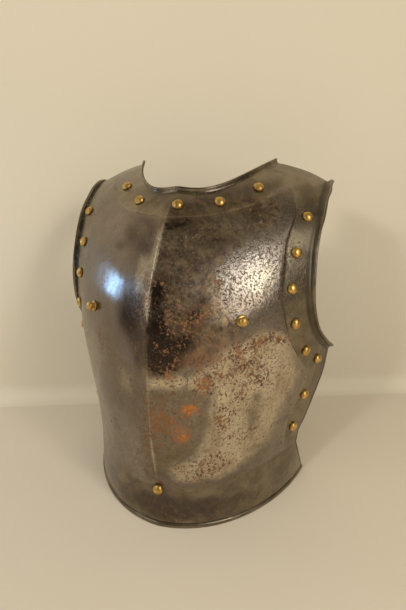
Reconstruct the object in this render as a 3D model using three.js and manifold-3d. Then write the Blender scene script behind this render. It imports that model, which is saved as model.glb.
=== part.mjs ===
// Front plate of a nineteenth-century heavy cavalry cuirass, standing on its waist flange.
//
// One forged steel sheet with a medial ridge, a raised central field, sunken borders along the
// neck, the armholes and the sides, edges at the neck and armholes that curl outwards, a sharp
// waist crease and a flared flange with a rolled edge. Brass rivets run along the borders, and two
// brass studs on the chest take the ends of the shoulder straps.
//
// Millimetres. +Z is up, the chest faces -Y, and x = 0 is the plane of symmetry. The origin is on
// the surface the plate stands on, below the middle of the object's box.
import * as THREE from 'three';
import Module from 'manifold-3d';

// ---- Driving dimensions ------------------------------------------------------------------------

const SHEET = 3;              // thickness of the steel
const STEP = 1.5;             // depth of the borders below the central field
const STEP_RUN = 2.5;         // width of the slope between field and border
const LIP_RADIUS = 4;         // outer-face radius of the curled edges
const LIP_RISE = 2.2;         // straight part of a curled edge, above its bend
const HALF_DEPTH = 98.7;       // from the front of the foot back to the middle of the object's box

// Half sections of the sheet, one above the other, each a cubic curve from the ridge to the flank:
// the ridge [y, z], then two shaping points and the end behind the arm, each [x, y, z].
const SECTIONS = [
  { ridge: [8, 55], chest: [63, 10, 56], side: [92, 16, 70], back: [180, 192, 66] },
  { ridge: [-5, 108], chest: [64, 2, 108], side: [92, 32, 110], back: [196, 193, 108] },
  { ridge: [-9, 154], chest: [61, 0, 154], side: [126, 50, 154], back: [196, 195, 154] },
  { ridge: [-10, 200], chest: [62, 2, 200], side: [152, 61, 200], back: [190, 195, 200] },
  { ridge: [-8, 247], chest: [62, 8, 246], side: [165, 70, 242], back: [197, 191, 243] },
  { ridge: [-1, 290], chest: [62, 24, 289], side: [174, 80, 279], back: [204, 185, 283] },
  { ridge: [24, 328], chest: [62, 48, 331], side: [179, 94, 312], back: [206, 181, 319] },
  { ridge: [48, 366], chest: [63, 76, 371], side: [176, 115, 350], back: [202, 182, 352] },
  { ridge: [102, 402], chest: [63, 109, 403], side: [166, 142, 376], back: [191, 188, 378] },
  { ridge: [148, 422], chest: [62, 154, 426], side: [156, 175, 401], back: [176, 199, 398] },
  { ridge: [205, 432], chest: [60, 210, 445], side: [148, 211, 424], back: [158, 214, 395] },
];

// Outline of the foot, where the flange meets the ground: a cubic curve in plan, [x, y].
const FOOT = [[0, 2.3], [86, 7], [142, 94], [157, 168]];

// Outlines seen from the side, [z, y]: the side edge, and the armhole from its lower corner up.
const SIDE_EDGE = [[56, 130.5], [86, 133], [97, 137], [124, 143.5], [147, 150.5], [167, 157.5],
  [192, 161]];
const ARMHOLE = [[192, 161], [207, 139.5], [229, 115.5], [256, 101.5], [285, 98], [318, 105],
  [345, 119], [363, 134.5], [380, 153.5], [391, 171], [399, 186], [403, 205]];
// Inner line of the arm and side border seen from the side, [z, y].
const ARM_BAND = [[56, 107], [90, 103.5], [109, 104], [126, 107.5], [158, 116], [174, 117.5],
  [189, 105.5], [213, 88], [236, 76.5], [278, 71], [319, 84], [347, 100.5], [378, 130], [398.4, 151.5]];

// Outlines seen from above, [x, y]: the neck opening as a power curve, and the cut shoulder end.
const NECK = { front: 85, back: 197, halfWidth: 98, power: 2.5 };
const SHOULDER = { inner: [98, 197], outer: [162, 205] };
// Inner line of the neck border seen from above, [x, y], ending where it meets the arm border.
const NECK_BAND = [[0, 51.5], [32, 64], [57, 78.5], [73.5, 91], [87.5, 104.5], [105, 128], [117, 151.5]];
const BORDER_TOP = 1.2;       // how far the arm border runs on above that meeting point, in sections

// Rolled foot edge: [height above the ground, outward offset].
const FOOT_PROFILE = [[0, 0.2], [1.2, 1.2], [4.2, 1.2], [5.4, -0.5], [6.6, -0.5], [8.2, 0]];
const FLANGE_LEVELS = [20, 32, 44];   // plain levels of the flange between foot edge and crease

// Brass fittings. Profiles are [radius, height above the sheet's outer face].
const CLEARANCE = 0.3;        // around a shank in its hole
const GAP = 0.45;             // under a head and over a peened end, where the sheet curves
const SHANK = 2.4;            // radius of every shank
const RIVET_HEAD = [[6.4, GAP], [5.9, 2.2], [3.8, 4.1], [0, 5]];
const STUD_HEAD = [[6.4, GAP], [6.4, 1.1], [4.9, 1.8], [3.3, 2.3], [3.3, 3.4], [4.6, 4.2], [5.1, 5.8],
  [4.3, 7.6], [2.4, 8.7], [0, 9.1]];
const PEEN = { radius: 3.4, height: 1.2 };   // hammered inner end of a shank

const NECK_RIVETS = [[7, 69], [49.5, 88.5], [85, 126.5]];              // [x, y]
// The rows down the armhole and down the side, [y, z].
const ARM_RIVETS = [[125.5, 363], [96.5, 326.5], [82.5, 288.5], [85, 247.5], [107, 207.5], [135.5, 187]];
const SIDE_RIVETS = [[123.5, 141], [117, 96]];
const STUD_PLACE = [89, 260.5];                                        // [x, z]
const WAIST_RIVET_HEIGHT = 49;

// Fineness of the sheet: columns from the ridge outwards and rows from the crease upwards.
const NECK_COLUMNS = 10;      // ridge to the neck corner
const FIELD_COLUMNS = 12;     // ridge to the arm border
const BAND_COLUMNS = 3;       // across the arm border
const WAIST_ROWS = 9;         // crease to the armhole's lower corner
const CHEST_ROWS = 13;        // that corner to the neck border
const BORDER_ROWS = 4;        // across the neck border
const LIP_ANGLES = [35, 75];  // facets of a curled edge, degrees

// ---- The sheet as a smooth surface ------------------------------------------------------------

const table = SECTIONS.map((s) => [...s.ridge, ...s.chest, ...s.side, ...s.back]);
const LAST = table.length - 1;

/** Section shape at height v: a uniform cubic B-spline through the table of sections. */
function sectionAt(v) {
  const i = Math.min(Math.max(Math.floor(v), 0), LAST - 1);
  const t = v - i;
  const weights = [(1 - t) ** 3, 3 * t ** 3 - 6 * t ** 2 + 4, -3 * t ** 3 + 3 * t ** 2 + 3 * t + 1, t ** 3];
  const beyond = (edge, inner) => edge.map((value, c) => 2 * value - inner[c]);
  const row = (n) => {
    if (n < 0) return beyond(table[0], table[1]);
    if (n > LAST) return beyond(table[LAST], table[LAST - 1]);
    return table[n];
  };
  const rows = [-1, 0, 1, 2].map((d) => row(i + d));
  return table[0].map((_, c) => rows.reduce((sum, r, k) => sum + (weights[k] * r[c]) / 6, 0));
}

/** Point of the sheet at u (0 ridge, 1 flank) and v (0 crease, then up by sections). */
function sheet(u, v) {
  const [ry, rz, ...rest] = sectionAt(v);
  const w = [(1 - u) ** 3, 3 * u * (1 - u) ** 2, 3 * u * u * (1 - u), u ** 3];
  const sum = (a, b, c, d) => w[0] * a + w[1] * b + w[2] * c + w[3] * d;
  return new THREE.Vector3(
    sum(0, rest[0], rest[3], rest[6]),
    sum(ry, rest[1], rest[4], rest[7]),
    sum(rz, rest[2], rest[5], rest[8]),
  );
}

function sheetNormal(u, v) {
  const h = 1e-3;
  const du = sheet(u + h, v).sub(sheet(u - h, v));
  const dv = sheet(u, v + h).sub(sheet(u, v - h));
  return du.cross(dv).normalize();
}

/** Value of x between lo and hi where the rising function f is zero. */
function solve(f, lo, hi) {
  for (let i = 0; i < 50; i += 1) {
    const mid = (lo + hi) / 2;
    if (f(mid) < 0) lo = mid; else hi = mid;
  }
  return (lo + hi) / 2;
}

/** Place on the sheet with two coordinates given, such as { y: 95, z: 327 }. */
function locate(wanted) {
  const [a, b] = Object.keys(wanted);
  const miss = (u, v) => {
    const p = sheet(u, v);
    return [p[a] - wanted[a], p[b] - wanted[b]];
  };
  let [u, v] = [0.5, 'z' in wanted ? (wanted.z - 63) / 45 : 7.5];
  for (let i = 0; i < 30; i += 1) {
    const h = 1e-4;
    const m = miss(u, v);
    const mu = miss(u + h, v).map((value, c) => (value - m[c]) / h);
    const mv = miss(u, v + h).map((value, c) => (value - m[c]) / h);
    const det = mu[0] * mv[1] - mu[1] * mv[0];
    u -= THREE.MathUtils.clamp((m[0] * mv[1] - m[1] * mv[0]) / det, -0.1, 0.1);
    v -= THREE.MathUtils.clamp((mu[0] * m[1] - mu[1] * m[0]) / det, -0.5, 0.5);
  }
  return { u, v };
}

// ---- Outlines on the sheet ---------------------------------------------------------------------

/** Smooth curve through [key, value] pairs, read by key. */
function reader(pairs) {
  const curve = new THREE.SplineCurve(pairs.map(([key, value]) => new THREE.Vector2(key, value)));
  return (key) => {
    const k = THREE.MathUtils.clamp(key, pairs[0][0], pairs[pairs.length - 1][0]);
    return curve.getPoint(solve((t) => curve.getPoint(t).x - k, 0, 1)).y;
  };
}
const sideEdge = reader(SIDE_EDGE);
const armhole = reader(ARMHOLE);
const armBand = reader(ARM_BAND);
const neckBand = reader(NECK_BAND);
const ARM_CORNER_Z = ARMHOLE[0][0];

function outlineDepth(z) {
  return z < ARM_CORNER_Z ? sideEdge(z) : armhole(z);
}

function topDepth(x) {
  if (x < NECK.halfWidth) {
    return NECK.front + (NECK.back - NECK.front) * (x / NECK.halfWidth) ** NECK.power;
  }
  const [inner, outer] = [SHOULDER.inner, SHOULDER.outer];
  return inner[1] + ((x - inner[0]) * (outer[1] - inner[1])) / (outer[0] - inner[0]);
}

/** Where the row at height v crosses a line drawn from the side. */
const crossSide = (v, depth) => solve((u) => {
  const p = sheet(u, v);
  return p.y - depth(p.z);
}, 0.3, 1.1);
/** Where the column at u crosses a line drawn from above. */
const crossPlan = (u, depth, lo = 5.5) => solve((v) => {
  const p = sheet(u, v);
  return p.y - depth(p.x);
}, lo, LAST);

const outlineAt = (v) => crossSide(v, outlineDepth);
const topAt = (u) => crossPlan(u, topDepth, 6.5);
const cornerRow = solve((v) => sheet(outlineAt(v), v).z - ARM_CORNER_Z, 1, 5);
const tipRow = solve((v) => {
  const p = sheet(outlineAt(v), v);
  return p.y - topDepth(p.x);
}, 8.2, LAST);
const neckCornerU = solve((u) => sheet(u, topAt(u)).x - NECK.halfWidth, 0.2, 0.7);
const bandMeet = locate({ x: NECK_BAND.at(-1)[0], y: NECK_BAND.at(-1)[1] });
const bandEndU = solve((u) => sheet(u, topAt(u)).x - (NECK_BAND.at(-1)[0] + 4), 0.3, 0.9);

// ---- The sheet as a grid of quads -------------------------------------------------------------

const BAND_FIRST = FIELD_COLUMNS + 1;
const EDGE_COLUMN = BAND_FIRST + BAND_COLUMNS;
const CORNER_LEVEL = WAIST_ROWS;
const BAND_LEVEL = WAIST_ROWS + CHEST_ROWS;
const TOP_LEVEL = BAND_LEVEL + 1 + BORDER_ROWS;
const lerp = THREE.MathUtils.lerp;

/** Height v of the inner line of the neck border at a column, run on across the arm border. */
function bandRow(column) {
  if (column <= FIELD_COLUMNS) return crossPlan((bandMeet.u * column) / FIELD_COLUMNS, neckBand);
  const across = (column - FIELD_COLUMNS) / (EDGE_COLUMN - FIELD_COLUMNS);
  return lerp(bandMeet.v, tipRow - BORDER_TOP, across);
}

/** u of a column on the top outline: evenly along the neck, then along the shoulder end. */
function topColumn(column) {
  if (column <= NECK_COLUMNS) {
    const t = column / NECK_COLUMNS;
    return neckCornerU * t * (1.7 - 0.7 * t);
  }
  return lerp(neckCornerU, bandEndU, (column - NECK_COLUMNS) / (FIELD_COLUMNS - NECK_COLUMNS));
}

function topRow(column) {
  return column >= EDGE_COLUMN ? tipRow : topAt(Math.min(topColumn(column), 0.99));
}

/** Height v of a grid node. */
function nodeRow(column, level) {
  if (level <= CORNER_LEVEL) return (cornerRow * level) / CORNER_LEVEL;
  const band = bandRow(column);
  if (level <= BAND_LEVEL) return lerp(cornerRow, band, (level - CORNER_LEVEL) / CHEST_ROWS);
  const border = topForColumn(column);
  const first = STEP_RUN / 42;
  const t = level === BAND_LEVEL + 1 ? first : lerp(first, 1, (level - BAND_LEVEL - 1) / BORDER_ROWS);
  return lerp(band, border, t);
}

/** Top height of a column, the arm border's columns shared out between its two sides. */
function topForColumn(column) {
  if (column <= FIELD_COLUMNS) return topRow(column);
  const across = (column - FIELD_COLUMNS) / (EDGE_COLUMN - FIELD_COLUMNS);
  const edgeU = outlineAt(tipRow);
  return column === EDGE_COLUMN ? tipRow : topAt(lerp(bandEndU, edgeU, bandShare(across)));
}

/** Share of the arm border's width at a column: a narrow step first, then evenly. */
function bandShare(across) {
  const first = 1 / (EDGE_COLUMN - FIELD_COLUMNS);
  const narrow = STEP_RUN / 34;
  if (across <= first) return (across / first) * narrow;
  return lerp(narrow, 1, (across - first) / (1 - first));
}

/** Place [u, v] of a grid node. */
function node(column, level) {
  const v = nodeRow(column, level);
  const above = Math.max(0, level - BAND_LEVEL) / (TOP_LEVEL - BAND_LEVEL);
  const vBand = nodeRow(FIELD_COLUMNS, level);
  const uBand = above > 0
    ? lerp(bandMeet.u, bandEndU, (vBand - bandMeet.v) / (topForColumn(FIELD_COLUMNS) - bandMeet.v))
    : (level === BAND_LEVEL ? bandMeet.u : crossSide(vBand, armBand));
  if (column <= FIELD_COLUMNS) {
    const even = (uBand * column) / FIELD_COLUMNS;
    if (above === 0) return { u: even, v };
    const blend = (v - bandRow(column)) / (topForColumn(column) - bandRow(column));
    return { u: lerp((bandMeet.u * column) / FIELD_COLUMNS, topColumn(column), blend), v };
  }
  const uEdge = outlineAt(nodeRow(EDGE_COLUMN, level));
  const across = (column - FIELD_COLUMNS) / (EDGE_COLUMN - FIELD_COLUMNS);
  return { u: lerp(uBand, uEdge, bandShare(across)), v };
}

/** Outward offset of the sheet at a grid node: the borders lie below the field. */
function relief(column, level) {
  const sunken = column >= BAND_FIRST || level > BAND_LEVEL;
  return sunken && level > 0 ? -STEP : 0;
}

function bodyPoint(column, level) {
  const { u, v } = node(column, level);
  return sheet(u, v).addScaledVector(sheetNormal(u, v), relief(column, level));
}

/** Points of one flange column, from the foot up to just under the crease. */
function flangeColumn(crease, foot) {
  const point = (z) => foot.clone().lerp(crease, z / crease.z);
  const outward = new THREE.Vector3(crease.x * 0.6, foot.y - 110, 0).normalize();
  const rolled = FOOT_PROFILE.map(([z, offset]) => point(z).addScaledVector(outward, offset));
  return [...rolled, ...FLANGE_LEVELS.map(point)];
}

/** Curled edge outside an edge point: out along the sheet and round towards its outer face. */
function curl(root, out, normal) {
  const bend = LIP_ANGLES.map((degrees) => {
    const a = THREE.MathUtils.degToRad(degrees);
    return root.clone().addScaledVector(out, LIP_RADIUS * Math.sin(a))
      .addScaledVector(normal, LIP_RADIUS * (1 - Math.cos(a)));
  });
  const a = THREE.MathUtils.degToRad(LIP_ANGLES.at(-1));
  const tip = bend.at(-1).clone().addScaledVector(out, LIP_RISE * Math.cos(a))
    .addScaledVector(normal, LIP_RISE * Math.sin(a));
  return [...bend, tip];
}

/** Half grid for x >= 0: points[column][row], with null where there is no sheet. */
function halfGrid() {
  const levels = Array.from({ length: TOP_LEVEL + 1 }, (_, level) => level);
  const columns = Array.from({ length: EDGE_COLUMN + 1 }, (_, column) => column);
  const body = columns.map((column) => levels.map((level) => bodyPoint(column, level)));

  const crease = new THREE.CatmullRomCurve3(body.map((points) => points[0]));
  const foot = new THREE.CubicBezierCurve3(...FOOT.map(([x, y]) => new THREE.Vector3(x, y, 0)));
  const creaseLength = crease.getLength();
  let run = 0;
  const flange = body.map((points, column) => {
    if (column > 0) run += points[0].distanceTo(body[column - 1][0]);
    return flangeColumn(points[0], foot.getPointAt(Math.min(run / creaseLength, 1)));
  });
  const flangeRows = flange[0].length;

  // Curled neck edge on the columns up to the neck corner, above the top row.
  const top = body.map((points) => points[TOP_LEVEL]);
  const neckLip = columns.map((column) => {
    if (column > NECK_COLUMNS) return LIP_ANGLES.map(() => null).concat([null]);
    const before = column === 0 ? mirrored(top[1]) : top[column - 1];
    const after = column === NECK_COLUMNS ? top[column] : top[column + 1];
    const along = after.clone().sub(before).normalize();
    const { u, v } = node(column, TOP_LEVEL);
    const normal = sheetNormal(u, v);
    if (column === 0) normal.setX(0).normalize();
    return curl(top[column], normal.clone().cross(along).normalize(), normal);
  });
  const grid = columns.map((column) => [...flange[column], ...body[column], ...neckLip[column]]);

  // Curled armhole edge on the rows from the lower corner up to the shoulder end.
  const edge = body[EDGE_COLUMN];
  const lipColumns = LIP_ANGLES.concat([0]).map(() => grid[0].map(() => null));
  for (let level = CORNER_LEVEL; level <= TOP_LEVEL; level += 1) {
    const along = edge[Math.min(level + 1, TOP_LEVEL)].clone()
      .sub(edge[Math.max(level - 1, CORNER_LEVEL)]).normalize();
    const { u, v } = node(EDGE_COLUMN, level);
    const normal = sheetNormal(u, v);
    const out = along.clone().cross(normal).normalize();
    curl(edge[level], out, normal).forEach((point, i) => {
      lipColumns[i][flangeRows + level] = point;
    });
  }
  return [...grid, ...lipColumns];
}

function mirrored(point) {
  return new THREE.Vector3(-point.x, point.y, point.z);
}

/** Outer skin of the plate as an indexed surface with open edges. */
function outerSkin() {
  const half = halfGrid();
  const positions = [];
  const ids = new Map();
  const idOf = (column, row) => {
    const key = `${column},${row}`;
    if (!ids.has(key)) {
      const point = half[Math.abs(column)][row];
      if (!point) return -1;
      ids.set(key, positions.length / 3);
      const x = column === 0 ? 0 : point.x * Math.sign(column);
      positions.push(x, point.y - HALF_DEPTH, point.z);
    }
    return ids.get(key);
  };
  const index = [];
  const last = half.length - 1;
  for (let column = -last; column < last; column += 1) {
    for (let row = 0; row < half[0].length - 1; row += 1) {
      const [a, b] = [idOf(column, row), idOf(column + 1, row)];
      const [d, c] = [idOf(column, row + 1), idOf(column + 1, row + 1)];
      if (Math.min(a, b, c, d) < 0) continue;
      if (column < 0) index.push(a, b, d, b, c, d); else index.push(a, b, c, a, c, d);
    }
  }
  const skin = new THREE.BufferGeometry();
  skin.setAttribute('position', new THREE.Float32BufferAttribute(positions, 3));
  skin.setIndex(index);
  skin.computeVertexNormals();
  return skin;
}

/** Closed solid between a skin and its copy moved inwards by the sheet's thickness. */
function thicken(skin, thickness) {
  const outer = skin.attributes.position;
  const normal = skin.attributes.normal;
  const positions = [...outer.array];
  for (let i = 0; i < outer.count; i += 1) {
    const p = new THREE.Vector3().fromBufferAttribute(outer, i);
    const inner = p.clone().addScaledVector(new THREE.Vector3().fromBufferAttribute(normal, i), -thickness);
    if (p.z === 0) inner.z = 0;      // the foot edge is cut flat, to stand on
    positions.push(inner.x, inner.y, inner.z);
  }
  const triangles = skin.index.array;
  const index = [...triangles];
  const edges = new Map();
  for (let i = 0; i < triangles.length; i += 3) {
    const [a, b, c] = [triangles[i], triangles[i + 1], triangles[i + 2]];
    index.push(a + outer.count, c + outer.count, b + outer.count);
    [[a, b], [b, c], [c, a]].forEach(([from, to]) => edges.set(`${from},${to}`, [from, to]));
  }
  edges.forEach(([from, to]) => {
    if (edges.has(`${to},${from}`)) return;
    index.push(from, from + outer.count, to, to, from + outer.count, to + outer.count);
  });
  const solid = new THREE.BufferGeometry();
  solid.setAttribute('position', new THREE.Float32BufferAttribute(positions, 3));
  solid.setIndex(index);
  return solid;
}

// ---- Cutting -----------------------------------------------------------------------------------

const wasm = await Module();
wasm.setup();

function toSolid(geometry) {
  return new wasm.Manifold(new wasm.Mesh({
    numProp: 3,
    vertProperties: new Float32Array(geometry.attributes.position.array),
    triVerts: new Uint32Array(geometry.index.array),
  }));
}

function toGeometry(solid) {
  const mesh = solid.getMesh();
  const geometry = new THREE.BufferGeometry();
  geometry.setAttribute('position', new THREE.BufferAttribute(mesh.vertProperties, 3));
  geometry.setIndex(new THREE.BufferAttribute(mesh.triVerts, 1));
  geometry.computeVertexNormals();
  return geometry;
}

/** Eight-sided prism along a fitting's axis, wide enough to clear its shank. */
function drill(place) {
  const sides = 8;
  const radius = (SHANK + CLEARANCE) / Math.cos(Math.PI / sides);
  const half = new THREE.Shape(Array.from({ length: sides }, (_, i) => {
    const a = ((i + 0.5) * 2 * Math.PI) / sides;
    return new THREE.Vector2(radius * Math.cos(a), radius * Math.sin(a));
  }));
  const prism = new THREE.ExtrudeGeometry(half, { depth: 30, bevelEnabled: false });
  prism.translate(0, 0, -15);
  prism.applyMatrix4(place);
  return mergedSolid(prism);
}

function mergedSolid(geometry) {
  const positions = [];
  const ids = new Map();
  const index = Array.from({ length: geometry.attributes.position.count }, (_, i) => {
    const p = new THREE.Vector3().fromBufferAttribute(geometry.attributes.position, i);
    const key = [p.x, p.y, p.z].map((value) => value.toFixed(4)).join();
    if (!ids.has(key)) {
      ids.set(key, positions.length / 3);
      positions.push(p.x, p.y, p.z);
    }
    return ids.get(key);
  });
  const merged = new THREE.BufferGeometry();
  merged.setAttribute('position', new THREE.Float32BufferAttribute(positions, 3));
  merged.setIndex(index);
  return toSolid(merged);
}

// ---- Fittings ----------------------------------------------------------------------------------

/** Matrix that puts a fitting's base on the outer face at a point, its axis along the normal. */
function placing(point, normal) {
  const turn = new THREE.Quaternion().setFromUnitVectors(new THREE.Vector3(0, 0, 1), normal);
  const at = point.clone().setY(point.y - HALF_DEPTH);
  return new THREE.Matrix4().compose(at, turn, new THREE.Vector3(1, 1, 1));
}

function placeOnSheet(wanted, side, depth) {
  const { u, v } = locate(wanted);
  const point = sheet(u, v).addScaledVector(sheetNormal(u, v), -depth);
  const normal = sheetNormal(u, v);
  point.x *= side;
  normal.x *= side;
  return placing(point, normal);
}

/** Fitting turned about its own axis: peened inner end, shank through the sheet, head outside. */
function fitting(head, segments) {
  const inner = -SHEET - GAP;
  const profile = [[0, inner - PEEN.height], [PEEN.radius, inner], [SHANK, inner], [SHANK, GAP], ...head];
  const lathe = new THREE.LatheGeometry(profile.map(([r, h]) => new THREE.Vector2(r, h)), segments);
  lathe.rotateX(Math.PI / 2);
  return lathe;
}

const brass = { color: 0xb08a3c, metalness: 0.9, roughness: 0.35 };
const steel = { color: 0x8b8880, metalness: 1.0, roughness: 0.3 };

function mesh(name, geometry, look) {
  const made = new THREE.Mesh(geometry, new THREE.MeshStandardMaterial(look));
  made.name = name;
  return made;
}

function fittingPlaces() {
  const places = [];
  NECK_RIVETS.forEach(([x, y], i) => {
    (i === 0 ? [1] : [-1, 1]).forEach((side) => {
      const name = i === 0 ? 'neck_rivet_centre' : `neck_rivet_${side < 0 ? 'right' : 'left'}_${i}`;
      places.push({ name, head: RIVET_HEAD, at: placeOnSheet({ x, y }, side, STEP) });
    });
  });
  [-1, 1].forEach((side) => {
    const hand = side < 0 ? 'right' : 'left';
    ARM_RIVETS.forEach(([y, z], i) => places.push(
      { name: `arm_rivet_${hand}_${i + 1}`, head: RIVET_HEAD, at: placeOnSheet({ y, z }, side, STEP) },
    ));
    SIDE_RIVETS.forEach(([y, z], i) => places.push(
      { name: `side_rivet_${hand}_${i + 1}`, head: RIVET_HEAD, at: placeOnSheet({ y, z }, side, STEP) },
    ));
    const [x, z] = STUD_PLACE;
    places.push({ name: `strap_stud_${hand}`, head: STUD_HEAD, at: placeOnSheet({ x, z }, side, 0) });
  });
  const crease = sheet(0, 0);
  const foot = new THREE.Vector3(0, FOOT[0][1], 0);
  const slope = crease.clone().sub(foot).normalize();
  places.push({
    name: 'waist_rivet',
    head: RIVET_HEAD,
    at: placing(foot.lerp(crease, WAIST_RIVET_HEIGHT / crease.z), new THREE.Vector3(1, 0, 0).cross(slope)),
  });
  return places;
}

// ---- The object --------------------------------------------------------------------------------

const cuirass = new THREE.Group();
const places = fittingPlaces();
const drilled = places.reduce(
  (solid, { at }) => solid.subtract(drill(at)),
  toSolid(thicken(outerSkin(), SHEET)),
);
cuirass.add(mesh('breastplate', toGeometry(drilled), steel));
places.forEach(({ name, head, at }) => {
  const piece = mesh(name, fitting(head, head === STUD_HEAD ? 12 : 10), brass);
  piece.applyMatrix4(at);
  cuirass.add(piece);
});

export default cuirass;
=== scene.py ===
import math
import random

import bmesh
import bpy
import numpy as np
from mathutils import Matrix, Vector


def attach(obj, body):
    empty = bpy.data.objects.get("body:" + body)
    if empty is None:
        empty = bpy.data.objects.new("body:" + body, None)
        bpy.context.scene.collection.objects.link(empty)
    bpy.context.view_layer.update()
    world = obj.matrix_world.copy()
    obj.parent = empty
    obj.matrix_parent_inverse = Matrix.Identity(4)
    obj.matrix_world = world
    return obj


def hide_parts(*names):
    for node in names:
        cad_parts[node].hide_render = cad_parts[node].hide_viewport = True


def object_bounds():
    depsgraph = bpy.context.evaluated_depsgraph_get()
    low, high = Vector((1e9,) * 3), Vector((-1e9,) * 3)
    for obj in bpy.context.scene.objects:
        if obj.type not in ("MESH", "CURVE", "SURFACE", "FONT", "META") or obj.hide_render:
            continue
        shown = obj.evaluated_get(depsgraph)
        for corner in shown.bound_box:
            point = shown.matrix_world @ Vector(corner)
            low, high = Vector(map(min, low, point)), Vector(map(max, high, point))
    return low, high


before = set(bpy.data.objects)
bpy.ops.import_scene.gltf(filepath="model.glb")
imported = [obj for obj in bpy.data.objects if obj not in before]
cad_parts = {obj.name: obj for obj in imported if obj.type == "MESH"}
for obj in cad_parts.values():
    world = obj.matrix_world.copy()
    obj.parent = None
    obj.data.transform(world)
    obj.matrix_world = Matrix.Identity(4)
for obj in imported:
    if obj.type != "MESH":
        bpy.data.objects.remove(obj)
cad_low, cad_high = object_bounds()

MM = 0.001
TINY = 1e-6                   # allowed for rounding, in metres or columns
HALF_DEPTH = 98.7             # from the front of the foot back to the middle of the object's box

# ---- The sheet, as in the CAD part --------------------------------------------------------------

SHEET = 3.0                   # thickness of the steel
STEP = 1.5                    # depth of the borders below the central field
STEP_WIDTH, ARM_BORDER, NECK_BORDER = 2.5, 34, 42      # widths of the step and of the borders
LIP_RADIUS = 4.0              # outer-face radius of the curled edges
LIP_RISE = 2.2                # straight part of a curled edge, above its bend
LIP_TURN = 75                 # degrees that a curled edge turns through

# Half sections, one above the other, each a cubic curve from the ridge to the flank:
# ridge y, z | chest x, y, z | side x, y, z | back x, y, z
SECTIONS = np.array([
    (8, 55, 63, 10, 56, 92, 16, 70, 180, 192, 66),
    (-5, 108, 64, 2, 108, 92, 32, 110, 196, 193, 108),
    (-9, 154, 61, 0, 154, 126, 50, 154, 196, 195, 154),
    (-10, 200, 62, 2, 200, 152, 61, 200, 190, 195, 200),
    (-8, 247, 62, 8, 246, 165, 70, 242, 197, 191, 243),
    (-1, 290, 62, 24, 289, 174, 80, 279, 204, 185, 283),
    (24, 328, 62, 48, 331, 179, 94, 312, 206, 181, 319),
    (48, 366, 63, 76, 371, 176, 115, 350, 202, 182, 352),
    (102, 402, 63, 109, 403, 166, 142, 376, 191, 188, 378),
    (148, 422, 62, 154, 426, 156, 175, 401, 176, 199, 398),
    (205, 432, 60, 210, 445, 148, 211, 424, 158, 214, 395),
], dtype=float)
LAST = len(SECTIONS) - 1
# One more section straight on beyond each end, so that the spline reaches the end ones.
SPLINE_ROWS = np.vstack([
    2 * SECTIONS[0] - SECTIONS[1], SECTIONS, 2 * SECTIONS[-1] - SECTIONS[-2],
])

# Control points of the foot's curve seen from above: x, y.
FOOT = np.array([(0, 2.3), (86, 7), (142, 94), (157, 168)])
# Outlines seen from the side: z, y.
SIDE_EDGE = [(56, 130.5), (86, 133), (97, 137), (124, 143.5), (147, 150.5), (167, 157.5), (192, 161)]
ARMHOLE = [(192, 161), (207, 139.5), (229, 115.5), (256, 101.5), (285, 98), (318, 105),
           (345, 119), (363, 134.5), (380, 153.5), (391, 171), (399, 186), (403, 205)]
ARM_BAND = [(56, 107), (90, 103.5), (109, 104), (126, 107.5), (158, 116), (174, 117.5),
            (189, 105.5), (213, 88), (236, 76.5), (278, 71), (319, 84), (347, 100.5), (378, 130),
            (398.4, 151.5)]
# Outlines seen from above: x, y.
NECK_FRONT, NECK_BACK, NECK_HALF_WIDTH, NECK_POWER = 85, 197, 98, 2.5
SHOULDER_INNER, SHOULDER_OUTER = (98, 197), (162, 205)
NECK_BAND = [(0, 51.5), (32, 64), (57, 78.5), (73.5, 91), (87.5, 104.5), (105, 128), (117, 151.5)]
BAND_FLARE = 4                # the field's upper corner moves this far out on its way to the top
BORDER_TOP = 1.2              # sections from the shoulder's outer tip down to the neck border
NECK_COLUMNS, FIELD_COLUMNS, BAND_COLUMNS = 10, 12, 3
WAIST_ROWS, CHEST_ROWS, BORDER_ROWS = 9, 13, 4
NECK_CROWDING = 0.7           # columns stand closer towards the neck's corner

# Where the equations are solved: ranges of u and least v.
FLANK_U = (0.3, 1.1)
TOP_V, NECK_BAND_V = 6.5, 5.5
HALVINGS = 40                 # of a range that is searched
READER_PARTS = 40             # points of a smooth outline between two given ones


def section_at(v):
    """Section shapes at heights v: a uniform cubic B-spline through the table."""
    i = np.clip(np.floor(v), 0, LAST - 1).astype(int)
    t = (v - i)[:, None]
    weights = [(1 - t) ** 3, 3 * t**3 - 6 * t**2 + 4, -3 * t**3 + 3 * t**2 + 3 * t + 1, t**3]
    return sum(w * SPLINE_ROWS[i + k] for k, w in enumerate(weights)) / 6


def bezier_weights(t):
    """Shares of a cubic Bezier curve's four control points."""
    return (1 - t) ** 3, 3 * t * (1 - t) ** 2, 3 * t * t * (1 - t), t**3


def sheet(u, v):
    """Points of the sheet at u (0 ridge, 1 flank) and v (0 crease, then up by sections)."""
    u, v = np.broadcast_arrays(np.asarray(u, float).ravel(), np.asarray(v, float).ravel())
    ridge, chest, side, back = bezier_weights(u)
    (ridge_y, ridge_z, chest_x, chest_y, chest_z,
     side_x, side_y, side_z, back_x, back_y, back_z) = section_at(v).T
    x = chest * chest_x + side * side_x + back * back_x
    y = ridge * ridge_y + chest * chest_y + side * side_y + back * back_y
    z = ridge * ridge_z + chest * chest_z + side * side_z + back * back_z
    return np.stack([x, y, z], axis=1)


def unit(vectors):
    """Vectors of the same directions and length 1."""
    return vectors / np.linalg.norm(vectors, axis=1, keepdims=True)


def sheet_normal(u, v):
    """Unit normals of the sheet, outwards."""
    h = 1e-3                  # to either side, in u and in v
    return unit(np.cross(sheet(u + h, v) - sheet(u - h, v), sheet(u, v + h) - sheet(u, v - h)))


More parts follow.
